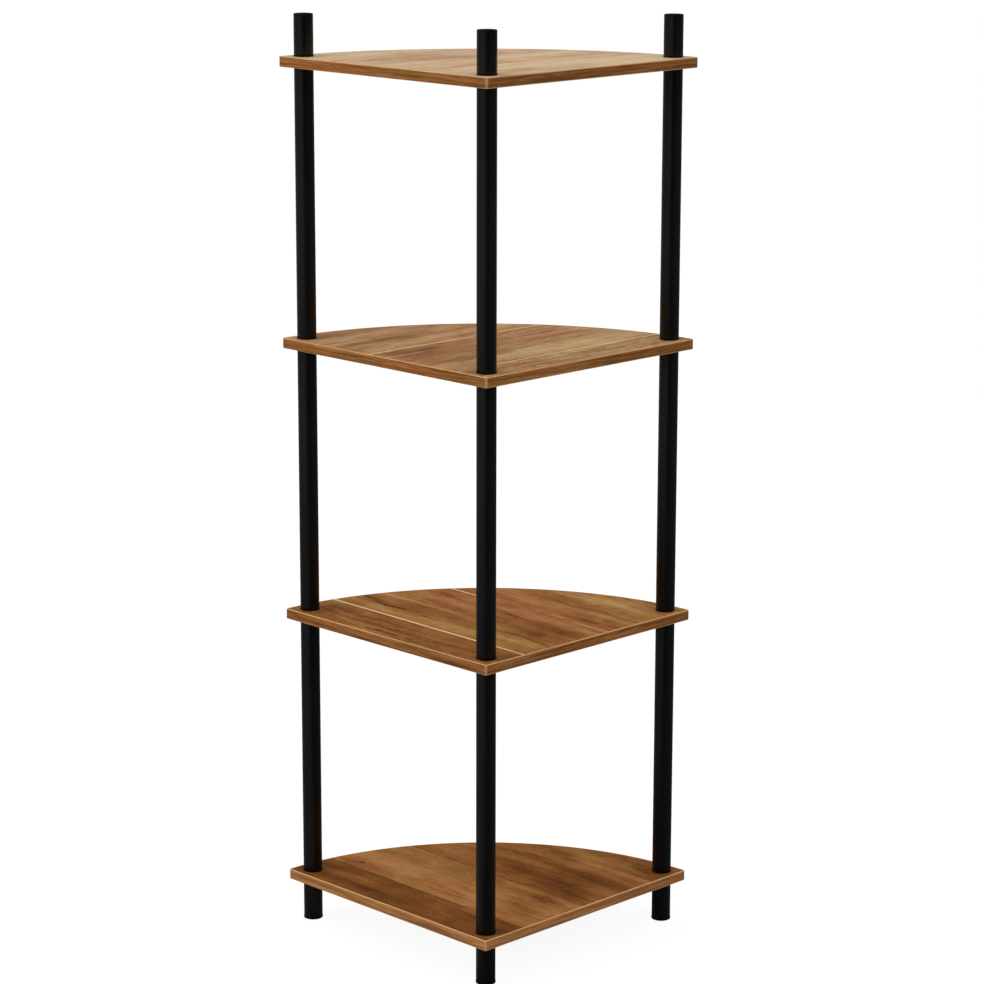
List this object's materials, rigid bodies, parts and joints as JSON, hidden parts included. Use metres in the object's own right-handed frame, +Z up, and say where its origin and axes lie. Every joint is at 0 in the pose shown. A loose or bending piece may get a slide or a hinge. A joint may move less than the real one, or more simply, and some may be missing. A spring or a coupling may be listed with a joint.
{
  "type": "corner shelf unit",
  "caption": "Free-standing corner shelf unit with quarter-round wood-print boards on round posts that are built up from short tubes",
  "frame": {"origin": "on the floor, under the middle of the boards' outline", "axes": "+Z up the posts; the square corner is at -X +Y, with its straight sides on the -X and +Y sides; the curved side faces +X -Y"},
  "size_m": [0.355, 0.355, 1.1392],
  "materials": {
    "board_print": "satin melamine with a printed wood-plank pattern, planks about 143 mm wide",
    "edge_band": "satin wood-print edge band with an eased, paler outer edge",
    "tube": "black, satin",
    "plug": "black moulded plastic, satin"
  },
  "bodies": {
    "root": {"bottom_board": "board_print", "bottom_edge_band": "edge_band", "lower_board": "board_print", "lower_edge_band": "edge_band", "upper_board": "board_print", "upper_edge_band": "edge_band", "top_board": "board_print", "top_edge_band": "edge_band", "corner_foot_cap": "plug", "corner_foot_tube": "tube", "corner_bottom_socket_plug": "plug", "corner_bottom_stud_plug": "plug", "corner_bottom_tube": "tube", "corner_lower_socket_plug": "plug", "corner_lower_stud_plug": "plug", "corner_lower_tube": "tube", "corner_upper_socket_plug": "plug", "corner_upper_stud_plug": "plug", "corner_upper_tube": "tube", "corner_top_socket_plug": "plug", "corner_top_stud_plug": "plug", "corner_stub_tube": "tube", "corner_top_cap": "plug", "right_foot_cap": "plug", "right_foot_tube": "tube", "right_bottom_socket_plug": "plug", "right_bottom_stud_plug": "plug", "right_bottom_tube": "tube", "right_lower_socket_plug": "plug", "right_lower_stud_plug": "plug", "right_lower_tube": "tube", "right_upper_socket_plug": "plug", "right_upper_stud_plug": "plug", "right_upper_tube": "tube", "right_top_socket_plug": "plug", "right_top_stud_plug": "plug", "right_stub_tube": "tube", "right_top_cap": "plug", "front_foot_cap": "plug", "front_foot_tube": "tube", "front_bottom_socket_plug": "plug", "front_bottom_stud_plug": "plug", "front_bottom_tube": "tube", "front_lower_socket_plug": "plug", "front_lower_stud_plug": "plug", "front_lower_tube": "tube", "front_upper_socket_plug": "plug", "front_upper_stud_plug": "plug", "front_upper_tube": "tube", "front_top_socket_plug": "plug", "front_top_stud_plug": "plug", "front_stub_tube": "tube", "front_top_cap": "plug"}
  },
  "joints": []
}
